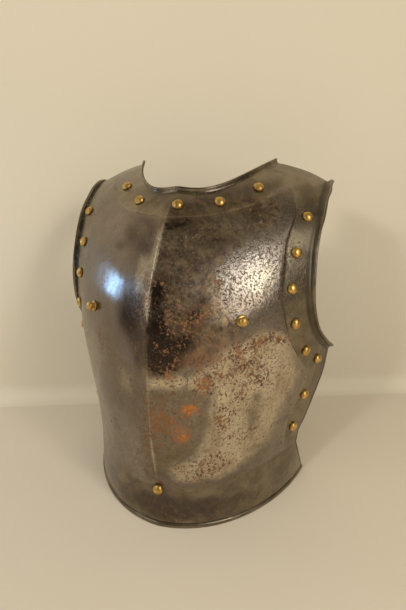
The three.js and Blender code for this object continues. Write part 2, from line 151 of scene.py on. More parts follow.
def solve(f, low, high, count):
    """Where the rising function f is zero between low and high, for count places at once."""
    low, high = np.full(count, float(low)), np.full(count, float(high))
    for _ in range(HALVINGS):
        mid = (low + high) / 2
        below = f(mid) < 0
        low, high = np.where(below, mid, low), np.where(below, high, mid)
    return (low + high) / 2


def through(points, parts):
    """Smooth curve through points, in so many parts between each two."""
    p = np.array(points, float)
    ends = np.vstack([p[:1], p, p[-1:]])
    t = np.linspace(0, 1, parts, endpoint=False)[:, None]
    pieces = [
        0.5 * (2 * b + (c - a) * t + (2 * a - 5 * b + 4 * c - d) * t**2
               + (3 * b - a - 3 * c + d) * t**3)
        for a, b, c, d in zip(ends, ends[1:], ends[2:], ends[3:])
    ]
    return np.vstack([*pieces, p[-1:]])


def reader(pairs):
    """Smooth curve through (key, value) pairs, read by key."""
    curve = through(pairs, READER_PARTS)
    return lambda key: np.interp(key, curve[:, 0], curve[:, 1])


side_edge, armhole, arm_band, neck_band = map(reader, (SIDE_EDGE, ARMHOLE, ARM_BAND, NECK_BAND))
ARM_CORNER_Z = ARMHOLE[0][0]


def outline_depth(z):
    """y of the side outline at height z."""
    return np.where(z < ARM_CORNER_Z, side_edge(z), armhole(z))


def top_depth(x):
    """y of the top outline, the neck and then the shoulder's end, at x."""
    neck = NECK_FRONT + (NECK_BACK - NECK_FRONT) * (np.abs(x) / NECK_HALF_WIDTH) ** NECK_POWER
    (x0, y0), (x1, y1) = SHOULDER_INNER, SHOULDER_OUTER
    return np.where(x < NECK_HALF_WIDTH, neck, y0 + (x - x0) * (y1 - y0) / (x1 - x0))


def cross_side(v, depth):
    """u where the rows at heights v cross a line drawn from the side."""
    def miss(u):
        p = sheet(u, v)
        return p[:, 1] - depth(p[:, 2])
    return solve(miss, *FLANK_U, len(v))


def cross_plan(u, depth, low):
    """v, from low up, where the columns at u cross a line drawn from above."""
    def miss(v):
        p = sheet(u, v)
        return p[:, 1] - depth(p[:, 0])
    return solve(miss, low, LAST, len(u))


def outline_at(v):
    """u of the side outline at heights v."""
    return cross_side(v, outline_depth)


def top_at(u):
    """v of the top outline at the columns u."""
    return cross_plan(u, top_depth, TOP_V)


def u_at_width(v, x):
    """u where the rows at heights v reach x."""
    return solve(lambda u: sheet(u, v)[:, 0] - x, 0, 1, len(v))


def top_width(u):
    """x of the columns u at the top outline."""
    return sheet(u, top_at(u))[:, 0]


def outline_miss(v):
    """How far behind the top outline the side outline lies."""
    p = sheet(outline_at(v), v)
    return p[:, 1] - top_depth(p[:, 0])


# Corners of the sheet's regions. Each solve() ends with the range that it searches and one place.
MEET_X, MEET_Y = NECK_BAND[-1]          # where the arm and the neck border meet
corner_v = solve(lambda v: sheet(outline_at(v), v)[:, 2] - ARM_CORNER_Z, 1, 5, 1)
tip_v = solve(outline_miss, 8.2, LAST, 1)
tip_u = outline_at(tip_v)
neck_corner_u = solve(lambda u: top_width(u) - NECK_HALF_WIDTH, 0.2, 0.7, 1)
meet_v = solve(lambda v: sheet(u_at_width(v, MEET_X), v)[:, 1] - MEET_Y, NECK_BAND_V, LAST, 1)
meet_u = u_at_width(meet_v, MEET_X)
band_end_u = solve(lambda u: top_width(u) - (MEET_X + BAND_FLARE), 0.3, 0.9, 1)

# ---- Fine grid over the sheet -------------------------------------------------------------------

EDGE_COLUMN = FIELD_COLUMNS + 1 + BAND_COLUMNS
BAND_LEVEL = WAIST_ROWS + CHEST_ROWS
TOP_LEVEL = BAND_LEVEL + 1 + BORDER_ROWS
# (up to this column or level of the CAD grid, in this many parts)
COLUMN_SPANS = [(0.12, 1), (FIELD_COLUMNS, 44), (FIELD_COLUMNS + 1, 5), (EDGE_COLUMN, 14)]
LEVEL_SPANS = [(0.08, 1), (1, 5), (WAIST_ROWS, 30), (BAND_LEVEL, 50), (BAND_LEVEL + 1, 5),
               (TOP_LEVEL, 16)]
BEND_PARTS = 5                # facets of a curled edge
# The rolled edge of the foot, in heights above the ground and outward offsets.
BEAD_ROWS = (0, 0.4, 0.9, 1.6, 2.4, 3.2, 3.9, 4.5, 5.0, 5.4, 5.8, 6.3, 6.8, 7.4, 8.4)
BEAD_MIDDLE, BEAD_HALF, BEAD_RISE = 2.5, 2.7, 1.2
GROOVE_HEIGHT, GROOVE_HALF, GROOVE_DEPTH = 6.0, 0.75, 0.55
FOOT_BACK, FOOT_TURN = 110, 0.6                # the foot's bead stands out away from (0.4 x, 110)
FOOT_PARTS = 400              # points along the foot's curve
FLANGE_PARTS = 15
ROUNDING = 0.8                # of the cut edges all round
TURNED = (-1, 1, 1)           # turns x round, for the other side
LIP_SHADE_RIGHT, LIP_SHADE_LEFT = 0.55, 1.0    # how much painted shade darkens the turned lips
FOOT_GROOVE_SHADE = 0.9              # and the groove above the rolled foot


def stops(spans):
    """Grid places through a list of spans."""
    places, start = [0.0], 0.0
    for end, parts in spans:
        places += list(np.linspace(start, end, parts + 1)[1:])
        start = end
    return np.array(places)


def lerp(a, b, t):
    return a + (b - a) * t


def smooth(t):
    """Smooth step from 0 to 1."""
    t = np.clip(t, 0, 1)
    return t * t * (3 - 2 * t)


def border_share(steps, narrow, count):
    """Share of a border's width after some of its count parts, the first of them the narrow step."""
    share, first = np.clip(steps / count, 0, 1), 1 / count
    rest = narrow + (1 - narrow) * (share - first) / (1 - first)
    return np.where(share <= first, share / first * narrow, rest)


def top_columns(columns):
    """u of the field's columns at the top edge: along the neck, then along the shoulder's end."""
    along_neck = np.clip(columns / NECK_COLUMNS, 0, 1)
    along_end = np.clip((columns - NECK_COLUMNS) / (FIELD_COLUMNS - NECK_COLUMNS), 0, 1)
    return np.where(
        columns <= NECK_COLUMNS,
        neck_corner_u * along_neck * (1 + NECK_CROWDING - NECK_CROWDING * along_neck),
        lerp(neck_corner_u, band_end_u, along_end),
    )


def sheet_places(columns, levels):
    """u and v of the grid's nodes, as arrays [column, level]."""
    in_field, in_border = (columns <= FIELD_COLUMNS)[:, None], levels > BAND_LEVEL
    even = np.minimum(columns, FIELD_COLUMNS)[:, None] / FIELD_COLUMNS
    beyond = (columns - FIELD_COLUMNS)[:, None]
    across = border_share(beyond, STEP_WIDTH / ARM_BORDER, BAND_COLUMNS + 1)
    up = border_share(levels - BAND_LEVEL, STEP_WIDTH / NECK_BORDER, 1 + BORDER_ROWS)

    top_u = np.where(in_field, top_columns(columns)[:, None], lerp(band_end_u, tip_u, across))
    top = top_at(top_u[:, 0])[:, None]
    top[-1] = tip_v
    band = np.where(in_field, cross_plan((meet_u * even)[:, 0], neck_band, NECK_BAND_V)[:, None],
                    lerp(meet_v, tip_v - BORDER_TOP, np.clip(beyond / (BAND_COLUMNS + 1), 0, 1)))
    above_waist = np.where(in_border, lerp(band, top, up),
                           lerp(corner_v, band, (levels - WAIST_ROWS) / CHEST_ROWS))
    v = np.where(levels <= WAIST_ROWS, corner_v * levels / WAIST_ROWS, above_waist)

    v_seam = v[np.argmin(np.abs(columns - FIELD_COLUMNS))]
    u_seam = np.where(in_border, lerp(meet_u, band_end_u, up), cross_side(v_seam, arm_band))
    u_seam[levels == BAND_LEVEL] = meet_u
    u_field = np.where(in_border, lerp(meet_u * even, top_u, up), u_seam * even)
    return np.where(in_field, u_field, lerp(u_seam, outline_at(v[-1]), across)), v


def bead(z):
    """Outward offset of the rolled foot edge and of the groove above it."""
    roll = np.sqrt(np.clip(1 - ((z - BEAD_MIDDLE) / BEAD_HALF) ** 2, 0, 1))
    groove = np.exp(-((z - GROOVE_HEIGHT) / GROOVE_HALF) ** 2)
    return BEAD_RISE * roll - GROOVE_DEPTH * groove


def run_length(points):
    """Length of a line of points up to each of them."""
    return np.r_[0, np.cumsum(np.linalg.norm(np.diff(points, axis=0), axis=1))]


def flange_grid(crease):
    """Flange below the crease: plain points and outward offsets, arrays [column, row]."""
    t = np.linspace(0, 1, FOOT_PARTS)[:, None]
    curve = sum(a * b for a, b in zip(bezier_weights(t), FOOT))
    length, run = run_length(curve), run_length(crease)
    share = run / run[-1] * length[-1]
    foot = np.stack([np.interp(share, length, curve[:, k]) for k in (0, 1)], axis=1)
    foot = np.c_[foot, np.zeros(len(crease))]
    rows = np.array(BEAD_ROWS, float)
    above = lerp(rows[-1], crease[:, 2:3], np.linspace(0, 1, FLANGE_PARTS + 1)[1:-1])
    heights = np.hstack([np.tile(rows, (len(crease), 1)), above])
    plain = lerp(foot[:, None, :], crease[:, None, :], (heights / crease[:, 2:3])[:, :, None])
    outward = unit(np.c_[crease[:, 0] * FOOT_TURN, foot[:, 1] - FOOT_BACK, np.zeros(len(crease))])
    return plain, outward[:, None, :] * bead(heights)[:, :, None]


def curl(root, out, normal):
    """Curled edge outside a row of points: out along the sheet and round to its outer face."""
    angles = np.radians(np.linspace(0, LIP_TURN, BEND_PARTS + 1)[1:])
    rings = [root + out * LIP_RADIUS * math.sin(a) + normal * LIP_RADIUS * (1 - math.cos(a))
             for a in angles]
    end = angles[-1]
    tip = rings[-1] + out * LIP_RISE * math.cos(end) + normal * LIP_RISE * math.sin(end)
    return np.stack([*rings, tip], axis=1)


def directions(row, before):
    """Unit vectors along a row of points, given the point before its first."""
    return unit(np.vstack([row[1:], row[-1:]]) - np.vstack([before[None], row[:-1]]))


def neck_lip(body, normal, columns):
    """Curled edge of the neck, from the ridge to the neck's corner."""
    count = int(np.sum(columns <= NECK_COLUMNS + TINY))
    top, up = body[:count, -1], normal[:count, -1].copy()
    up[0, 0] = 0              # the ridge faces straight forward
    up = unit(up)
    return curl(top, unit(np.cross(up, directions(top, top[1] * TURNED))), up)


def arm_lip(body, normal, levels):
    """Curled edge of the armhole, from the top of the waist up."""
    first = int(np.argmin(np.abs(levels - WAIST_ROWS)))
    edge, up = body[-1, first:], normal[-1, first:]
    return curl(edge, unit(np.cross(directions(edge, edge[0]), up)), up)


def half_grid():
    """Half of the outer skin, for x >= 0: plain points, the same with the borders sunk, what the
    foot's bead adds, and the masks of the borders and of the painted shade in the arm's lip.

    Arrays are [column, row]; points off the sheet are NaN.
    """
    columns, levels = stops(COLUMN_SPANS), stops(LEVEL_SPANS)
    u, v = sheet_places(columns, levels)
    base, normal = (made.reshape(*u.shape, 3) for made in (sheet(u, v), sheet_normal(u, v)))
    sunk = np.maximum(smooth(columns - FIELD_COLUMNS)[:, None] * smooth(levels),
                      smooth(levels - BAND_LEVEL))
    body = base - normal * (STEP * sunk)[:, :, None]
    flange, bulge = flange_grid(body[:, 0])
    neck, arm = neck_lip(body, normal, columns), arm_lip(body, normal, levels)

    edge, crease = len(columns), flange.shape[1]
    top = crease + len(levels)
    size = edge + BEND_PARTS + 1, top + BEND_PARTS + 1
    flat, raised, offset = (np.full((*size, 3), fill) for fill in (np.nan, np.nan, 0.0))
    border, groove = np.zeros(size), np.zeros(size)
    flat[:edge, crease:top], raised[:edge, crease:top], border[:edge, crease:top] = base, body, sunk
    for grid in (flat, raised):
        grid[:edge, :crease] = flange
        grid[:len(neck), top:] = neck
        grid[edge:, top - len(arm):top] = arm.swapaxes(0, 1)
    offset[:edge, :crease] = bulge
    border[:, :crease] = border[:, top:] = border[edge:] = 1
    # painted shade in the turned lip of the armhole
    groove[edge - 2:-2] = LIP_SHADE_RIGHT
    return flat, raised, offset, border, groove


def mirror(grid, factor=1):
    """Whole grid from its half. The other side is multiplied by the factor."""
    return np.concatenate([grid[:0:-1] * factor, grid])


def quads(present):
    """Faces of the grid, as numbers of the present nodes."""
    ids = np.where(present, np.cumsum(present.ravel()).reshape(present.shape) - 1, -1)
    a, b, c, d = ids[:-1, :-1], ids[1:, :-1], ids[1:, 1:], ids[:-1, 1:]
    faces = np.stack([a, b, c, d], axis=-1).reshape(-1, 4)
    return faces[faces.min(axis=1) >= 0]


def vertex_normals(points, faces):
    """Unit normals at the points, from the faces round each."""
    a, b, c, d = (points[faces[:, k]] for k in range(4))
    face_normals = np.cross(c - a, d - b)
    total = np.zeros_like(points)
    for k in range(4):
        np.add.at(total, faces[:, k], face_normals)
    return unit(total)


def boundary(faces):
    """Directed edges of the open borders, (from, to)."""
    pairs = np.vstack([faces[:, [k, (k + 1) % 4]] for k in range(4)])
    known = {(int(a), int(b)) for a, b in pairs}
    return np.array([pair for pair in sorted(known) if pair[::-1] not in known])


# ---- The steel sheet as a closed mesh -----------------------------------------------------------

def in_frame(points):
    """Raw millimetres to metres in the row's frame."""
    return (points - (0, HALF_DEPTH, 0)) * MM


def whole_skin():
    """Faces of the whole outer skin, and half_grid()'s five values at each of its vertices."""
    flat, raised, offset, border, groove = half_grid()
    grids = [mirror(flat, TURNED), mirror(raised, TURNED), mirror(offset, TURNED), mirror(border),
             mirror(groove, LIP_SHADE_LEFT / LIP_SHADE_RIGHT)]
    present = ~np.isnan(grids[0][..., 0])
    return quads(present), [grid[present] for grid in grids]


def round_rim(outer, inner, raised, normal, rim, on_rim):
    """Rounds the cut edges all round: draws the rims of both faces back a little, in place, and
    gives the two rows of vertices that run between them."""
    outwards = np.zeros_like(outer)
    run = unit(raised[rim[:, 1]] - raised[rim[:, 0]])
    for end in (0, 1):
        np.add.at(outwards, rim[:, end], np.cross(run, normal[rim[:, end]]))
    back, down = unit(outwards[on_rim]) * ROUNDING, normal[on_rim] * ROUNDING
    rows = [outer[on_rim] - down, inner[on_rim] + down]
    outer[on_rim] -= back
    inner[on_rim] -= back
    for row in rows:
        row[:, 2] = np.maximum(row[:, 2], 0)
    return rows


def sheet_mesh():
    """The whole sheet in millimetres: vertices, faces, each vertex's masks, and the normals of the
    outer face, whose vertices come first."""
    faces, (flat, raised, offset, border, groove) = whole_skin()
    normal = vertex_normals(flat, faces)
    outer, inner = raised + offset, raised - normal * SHEET
    at_foot = raised[:, 2] <= BEAD_ROWS[-1]
    inner[at_foot, 2] = raised[at_foot, 2]
    rim = boundary(faces)
    on_rim = np.unique(rim)
    rows = round_rim(outer, inner, raised, normal, rim, on_rim)

    # Strips of faces close the edge: from the outer rim over the two rows to the inner rim.
    count, around = len(outer), len(on_rim)
    ends = np.searchsorted(on_rim, rim)
    ladder = [rim, 2 * count + ends, 2 * count + around + ends, count + rim]
    strips = [np.stack([a[:, 0], b[:, 0], b[:, 1], a[:, 1]], axis=1)
              for a, b in zip(ladder, ladder[1:])]
    vertices = np.vstack([outer, inner, *rows])
    faces = np.vstack([faces, faces[:, ::-1] + count, *strips])
    border, groove = (np.concatenate([mask, mask, mask[on_rim], mask[on_rim]])
                      for mask in (border, groove))
    inside = np.repeat([0.0, 1.0, 0.0, 1.0], [count, count, around, around])
    return vertices, faces, {"border": border, "inside": inside, "groove": groove}, normal


# ---- Stains, wear, painted shade and painted highlights -----------------------------------------
# Seen from the front, in millimetres of the row's frame: x to the right, z up. Areas have an
# outline and a soft edge; places are ellipses that fade outwards.

DARK_AREA = [    # tarnished steel right of the ridge, x, z
    (0, 203), (24, 211), (47, 219), (65, 229), (82, 240), (92, 248), (82, 268), (68, 285),
    (64, 305), (72, 325), (88, 343), (106, 350), (116, 372), (96, 392), (50, 384), (0, 378),
]
PALE_AREA = [    # polished steel below it
    (2, 203), (24, 205), (45, 208), (64, 222), (84, 236), (107, 245), (128, 241), (142, 214),
    (150, 182), (142, 160), (134, 140), (126, 112), (112, 92), (96, 78), (82, 70), (46, 66),
    (20, 62), (14, 88), (38, 102), (52, 122), (58, 150), (60, 182), (38, 190), (2, 188),
]
OLIVE_AREA = [   # dull steel either side of the ridge, above the waist
    (-4, 196), (30, 192), (60, 184), (62, 160), (58, 128), (46, 104), (20, 92), (12, 56),
    (-16, 56), (-24, 100), (-12, 140),
]
AREAS = {        # kind: (outline, width of the soft edge, strength)
    "dark": (DARK_AREA, 14, 0.62), "pale": (PALE_AREA, 30, 0.78), "olive": (OLIVE_AREA, 30, 0.75),
}
PLACES = {       # kind: x, z, half width, half height, strength
    "dark": [
        (14, 358, 26, 11, 1.0), (56, 339, 28, 11, 1.0), (100, 364, 11, 12, 1.0), (84, 373, 14, 7, 0.7),
        (14, 292, 13, 18, 0.8), (24, 246, 28, 26, 1.0), (16, 220, 20, 13, 1.0), (42, 238, 18, 16, 0.9),
        (46, 270, 11, 24, 0.9), (64, 286, 12, 10, 0.5), (76, 252, 12, 9, 0.7), (56, 82, 24, 6, 0.4),
    ],
    "deep": [
        (8, 292, 9, 16, 0.8), (10, 262, 11, 16, 0.8), (13, 238, 17, 18, 1.0), (12, 216, 16, 11, 1.0),
        (36, 240, 14, 12, 0.8), (44, 266, 10, 13, 0.75), (52, 284, 10, 8, 0.5), (32, 222, 12, 7, 0.6),
        (14, 358, 24, 9, 0.6), (56, 340, 26, 8, 0.5), (88, 370, 14, 7, 0.4),
    ],
    # smoky dark stains on the chest, and painted dark reflections on the neck border and the flange's
    # front
    "smoke": [
        (-40, 344, 20, 12, 0.8), (-20, 334, 15, 9, 0.7), (-58, 331, 13, 6, 0.7), (-28, 360, 20, 7, 0.7),
        (-14, 348, 9, 14, 0.6), (-10, 230, 10, 24, 1.0), (-20, 250, 14, 20, 0.85),
        (-34, 268, 12, 16, 0.5), (-10, 382, 70, 16, 0.7), (70, 392, 50, 12, 0.6),
        (0, 28, 90, 20, 1.0), (46, 30, 44, 14, 0.7), (-60, 60, 30, 14, 0.4), (0, 70, 40, 12, 0.3),
    ],
    "rust": [
        (20, 150, 26, 36, 0.6), (96, 214, 40, 22, 0.4), (-4, 100, 6, 40, 0.4),
        (16, 288, 15, 22, 0.45), (32, 266, 26, 20, 0.6), (26, 240, 26, 22, 0.7), (52, 262, 14, 18, 0.6),
        (18, 218, 26, 9, 0.5), (50, 204, 16, 12, 1.0), (57, 195, 12, 10, 0.9), (76, 228, 14, 8, 0.9),
        (90, 231, 15, 10, 1.0), (106, 236, 17, 10, 0.9), (126, 232, 15, 8, 0.9), (92, 214, 14, 14, 0.8),
        (107, 206, 14, 18, 0.9), (110, 187, 12, 14, 0.7), (74, 202, 18, 14, 0.8),
        (30, 205, 18, 7, 0.5), (80, 176, 20, 18, 0.6), (92, 157, 18, 14, 0.45),
        (74, 149, 12, 12, 0.5), (100, 118, 10, 12, 0.5), (86, 138, 12, 12, 0.4),
        (74, 120, 11, 22, 0.65), (66, 100, 14, 10, 0.65), (54, 91, 18, 8, 0.85),
        (30, 90, 16, 8, 0.6), (46, 80, 20, 8, 0.95), (62, 83, 12, 8, 0.8), (44, 70, 16, 6, 0.85),
        (84, 82, 16, 8, 0.4), (-3, 296, 5, 26, 0.6), (8, 148, 16, 34, 0.6), (92, 374, 16, 6, 0.4),
        (104, 350, 6, 16, 0.5), (62, 305, 30, 30, 0.3), (-74, 230, 12, 18, 0.4),
    ],
    "film": [
        (54, 223, 24, 11, 1.0), (70, 236, 14, 8, 0.8), (44, 262, 14, 14, 0.3),
        (-76, 232, 7, 14, 0.8), (-60, 212, 12, 14, 0.4), (8, 148, 13, 32, 0.6), (30, 140, 12, 20, 0.5),
        (100, 376, 12, 4, 0.5), (112, 366, 5, 7, 0.4), (60, 196, 14, 8, 0.6), (46, 84, 26, 10, 0.3),
        (112, 184, 10, 8, 0.5), (-20, 80, 26, 14, 0.3), (62, 310, 22, 22, 0.3),
    ],
    "orange": [
        (42, 166, 10, 9, 1.0), (35, 133, 12, 14, 0.72), (6, 152, 9, 22, 0.48), (17, 159, 8, 8, 0.35),
        (9, 121, 6, 7, 0.4), (24, 145, 12, 14, 0.4),
    ],
    "smudge": [
        (59, 172, 7, 10, 0.9), (56, 147, 7, 14, 1.0), (57, 111, 9, 6, 0.7), (107, 167, 6, 11, 0.9),
        (102, 138, 6, 24, 1.0), (137, 148, 5, 15, 0.8), (130, 118, 16, 5, 0.8), (104, 95, 14, 5, 0.8),
        (115, 84, 12, 4, 0.7), (86, 208, 9, 6, 0.7), (66, 186, 7, 6, 0.5), (122, 176, 8, 12, 0.4),
        (-40, 158, 24, 8, 0.7), (-15, 160, 8, 12, 0.7), (-50, 128, 26, 14, 0.4),
        (-34, 96, 26, 14, 0.5), (-60, 96, 16, 20, 0.4),
    ],
    # blued steel, and painted reflections of the window: bluish glints on the flange's left
    "blue": [
        (-30, 256, 24, 36, 0.9), (-68, 262, 12, 30, 0.6), (-60, 330, 20, 20, 0.5),
        (-22, 226, 14, 20, 0.7), (72, 252, 16, 10, 0.7), (24, 270, 14, 12, 0.3),
        (-70, 40, 26, 30, 0.6), (-40, 300, 20, 20, 0.4), (84, 262, 10, 10, 0.5),
    ],
    # polished steel, and painted highlights: a streak left of the ridge and a sheen round the lamp's
    # highlight
    "pale": [
        (-34, 218, 18, 18, 0.3), (-30, 190, 18, 24, 0.45), (-14, 306, 11, 26, 0.9),
        (-3, 330, 4, 40, 0.8), (-3, 282, 3, 14, 0.9),
        (96, 222, 26, 12, 0.6), (76, 150, 14, 60, 0.4), (70, 90, 18, 16, 0.4), (104, 300, 24, 30, 0.5),
        (20, 198, 22, 5, 0.5), (122, 184, 18, 40, 0.5), (118, 226, 24, 14, 0.6),
        (96, 104, 22, 14, 0.4),
    ],
    "wear": [    # the ridge, rubbed bright, with a painted highlight along it
        (0, 330, 2.0, 34, 1.0), (0, 280, 2.0, 16, 1.0), (0, 110, 2.0, 50, 0.6), (0, 196, 2.0, 40, 0.4),
    ],
    "pits": [
        (106, 308, 30, 42, 1.0), (76, 312, 26, 34, 0.7), (104, 262, 26, 22, 0.7),
        (126, 300, 16, 50, 0.7), (40, 340, 50, 24, 0.4), (34, 262, 40, 40, 0.5), (-8, 310, 12, 40, 0.4),
    ],
}

KINDS = sorted({*AREAS, *PLACES})


def depth_inside(x, z, outline):
    """Distance in from an outline, negative outside it."""
    nearest, inside = np.full(len(x), np.inf), np.zeros(len(x), bool)
    for (x0, z0), (x1, z1) in zip(outline, outline[1:] + outline[:1]):
        run, rise = x1 - x0, z1 - z0
        t = np.clip(((x - x0) * run + (z - z0) * rise) / (run**2 + rise**2), 0, 1)
        nearest = np.minimum(nearest, np.hypot(x - x0 - t * run, z - z0 - t * rise))
        if rise:
            inside ^= ((z0 > z) != (z1 > z)) & (x < x0 + (z - z0) * run / rise)
    return np.where(inside, nearest, -nearest)


def stain_field(kind, x, z):
    """Strength of a kind of stain, 0 to 1, at places on the front of the plate."""
    clear = np.ones(len(x))
    if kind in AREAS:
        outline, soft, strength = AREAS[kind]
        clear -= strength * smooth(0.5 + depth_inside(x, z, outline) / soft)
    for px, pz, wide, high, strength in PLACES.get(kind, []):
        clear *= 1 - strength * np.exp(-((x - px) / wide) ** 2 - ((z - pz) / high) ** 2)
    return 1 - clear


# ---- Objects ------------------------------------------------------------------------------------

# Radius and height above the sheet's outer face, in millimetres, from the shank outwards.
RIVET_PROFILE = [(2.4, 0.05), (6.2, 0.05), (6.4, 0.6), (6.2, 1.6), (5.5, 2.8), (4.2, 3.9),
                 (2.3, 4.75), (0, 5)]
STUD_PROFILE = [(2.4, 0.05), (6.35, 0.05), (6.4, 0.9), (6.0, 1.4), (4.6, 1.9), (3.5, 2.3),
                (3.3, 2.9), (3.7, 3.5), (4.7, 4.3), (5.1, 5.7), (4.8, 6.9), (3.8, 8.1), (2.1, 8.9),
                (0, 9.1)]
PEEN_PROFILE = [(0, -4.65), (1.4, -4.5), (2.7, -4.0), (3.3, -3.45), (3.2, -3.05), (2.4, -3.0)]
PROFILE_PARTS, LATHE_PARTS = 3, 28             # between two points of a profile, and all round
UNEVEN, UNEVEN_WAVES = 0.02, 3                 # share of a head's radius, and waves in it
FOOT_SHADE_HEIGHT = 2.4            # up to here painted shade darkens a head's edge


def link(name, data):
    """New object of the scene."""
    made = bpy.data.objects.new(name, data)
    bpy.context.scene.collection.objects.link(made)
    return made


def smooth_object(mesh, material, fields):
    """Smooth-shaded object of a mesh. Its vertices carry the fields, which the material reads."""
    for name, values in fields.items():
        layer = mesh.attributes.new(name, "FLOAT", "POINT")
        layer.data.foreach_set("value", np.asarray(values, dtype=np.float32))
    mesh.materials.append(material)
    mesh.shade_smooth()
    return link(mesh.name, mesh)


def make_plate(material):
    """The steel sheet, kept inside the CAD box. Gives the points and normals of its outer face."""
    vertices, faces, masks, normals = sheet_mesh()
    points = np.clip(in_frame(vertices), np.array(cad_low), np.array(cad_high))
    x, z = points[:, 0] / MM, points[:, 2] / MM
    outer = 1 - masks["inside"]
    fields = {kind: stain_field(kind, x, z) * outer for kind in KINDS}
    # painted shade in the groove above the rolled foot
    foot_groove = FOOT_GROOVE_SHADE * outer * np.exp(-((z - GROOVE_HEIGHT) / GROOVE_HALF) ** 2)
    masks["groove"] = np.maximum(masks["groove"], foot_groove)
    mesh = bpy.data.meshes.new("breastplate_skin")
    mesh.from_pydata(points.tolist(), [], faces.tolist())
    mesh.validate()
    plate = smooth_object(mesh, material, {**fields, **masks})
    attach(plate, "root")
    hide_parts("breastplate")
    return points[:len(normals)], normals


def lathe(profile, rng):
    """Vertices and faces of a turned piece about Z, slightly uneven; both profile ends on the axis."""
    rings = len(profile)
    angles = np.linspace(0, 2 * np.pi, LATHE_PARTS, endpoint=False)
    shift = [rng.uniform(-np.pi, np.pi) for _ in range(UNEVEN_WAVES)]
    uneven = sum(np.sin((k + 2) * angles + shift[k]) / (k + 1) for k in range(UNEVEN_WAVES))
    radius = profile[:, 0][:, None] * (1 + uneven * UNEVEN)
    vertices = np.stack([radius * np.cos(angles), radius * np.sin(angles),
                         np.repeat(profile[:, 1][:, None], LATHE_PARTS, axis=1)], axis=-1)
    faces = [[r * LATHE_PARTS + k, r * LATHE_PARTS + (k + 1) % LATHE_PARTS,
              (r + 1) * LATHE_PARTS + (k + 1) % LATHE_PARTS, (r + 1) * LATHE_PARTS + k]
             for r in range(rings - 1) for k in range(LATHE_PARTS)]
    return vertices.reshape(-1, 3), faces


def seat(node, face, top):
    """Matrix from a fitting's own millimetres to its place on the sheet's outer face, found from
    the CAD node: its middle, the nearest normal of the sheet, and the height of its top."""
    points, normals = face
    own = np.unique(np.array([v.co for v in node.data.vertices]).round(6), axis=0)
    middle = own.mean(axis=0)
    normal = normals[np.argmin(np.linalg.norm(points - middle, axis=1))]
    height = (own @ normal).max() - top * MM
    base = middle + normal * (height - middle @ normal)
    turn = Vector((0, 0, 1)).rotation_difference(Vector(normal)).to_matrix().to_4x4()
    return Matrix.Translation(Vector(base)) @ turn @ Matrix.Scale(MM, 4)


def turned_mesh(name, profile, place, rng):
    """Closed mesh of a fitting in its place: a turned head outside and a peened end inside."""
    outline = [through(part, PROFILE_PARTS) for part in (PEEN_PROFILE, profile)]
    vertices, faces = lathe(np.concatenate(outline), rng)
    build = bmesh.new()
    made = [build.verts.new(place @ Vector(v)) for v in vertices]
    for corners in faces:
        build.faces.new([made[k] for k in corners])
    bmesh.ops.remove_doubles(build, verts=build.verts, dist=TINY)
    bmesh.ops.recalc_face_normals(build, faces=build.faces)
    mesh = bpy.data.meshes.new(name)
    build.to_mesh(mesh)
    build.free()
    return mesh


def make_fitting(node, face, profile, material):
    """Brass fitting in place of a CAD one."""
    place = seat(node, face, profile[-1][1])
    mesh = turned_mesh(node.name + "_brass", profile, place, random.Random(node.name))
    away = place.inverted()
    height = np.array([(away @ v.co).z for v in mesh.vertices])
    # base: where painted shade darkens the foot of the head
    piece = smooth_object(mesh, material, {"base": 1 - smooth(height / FOOT_SHADE_HEIGHT)})
    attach(piece, "root")
    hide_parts(node.name)


# ---- Materials ----------------------------------------------------------------------------------

def rgb(red, green, blue):
    return (red, green, blue, 1.0)


class Nodes:
    """A node tree, with one short call for each kind of node."""

    def __init__(self, tree):
        self.tree = tree

    def node(self, kind, inputs, **settings):
        made = self.tree.nodes.new(kind)
        for key, value in settings.items():
            setattr(made, key, value)
        for key, value in inputs.items():
            self.put(value, made.inputs[key])
        return made

    def put(self, value, socket):
        if isinstance(value, bpy.types.NodeSocket):
            self.tree.links.new(value, socket)
        else:
            socket.default_value = value

    def math(self, operation, a, b):
        return self.node("ShaderNodeMath", {0: a, 1: b}, operation=operation).outputs["Value"]

    def add(self, a, b, share=1.0):
        """a plus a share of b."""
        made = self.node("ShaderNodeMath", {0: b, 1: share, 2: a}, operation="MULTIPLY_ADD")
        return made.outputs["Value"]

    def times(self, a, b):
        return self.math("MULTIPLY", a, b)

    def most(self, a, b):
        return self.math("MAXIMUM", a, b)

    def rest(self, mask):
        """What a mask leaves free."""
        return self.math("SUBTRACT", 1.0, mask)

    def remap(self, value, low, high, to_low=0.0, to_high=1.0):
        """Smooth step of a value from low..high to to_low..to_high."""
        inputs = {"Value": value, "From Min": low, "From Max": high, "To Min": to_low,
                  "To Max": to_high}
        made = self.node("ShaderNodeMapRange", inputs, interpolation_type="SMOOTHSTEP")
        return made.outputs["Result"]

    def mix(self, factor, a, b):
        """Colour a, and b where the factor is 1."""
        made = self.node("ShaderNodeMix", {0: factor, 6: a, 7: b}, data_type="RGBA")
        return made.outputs[2]

    def between(self, value, low, high, a, b):
        """Colour a where the value is low, and b where it is high."""
        return self.mix(self.remap(value, low, high), a, b)

    def blend(self, factor, a, b):
        """Number a, and b where the factor is 1."""
        return self.node("ShaderNodeMix", {0: factor, 2: a, 3: b}, data_type="FLOAT").outputs[0]


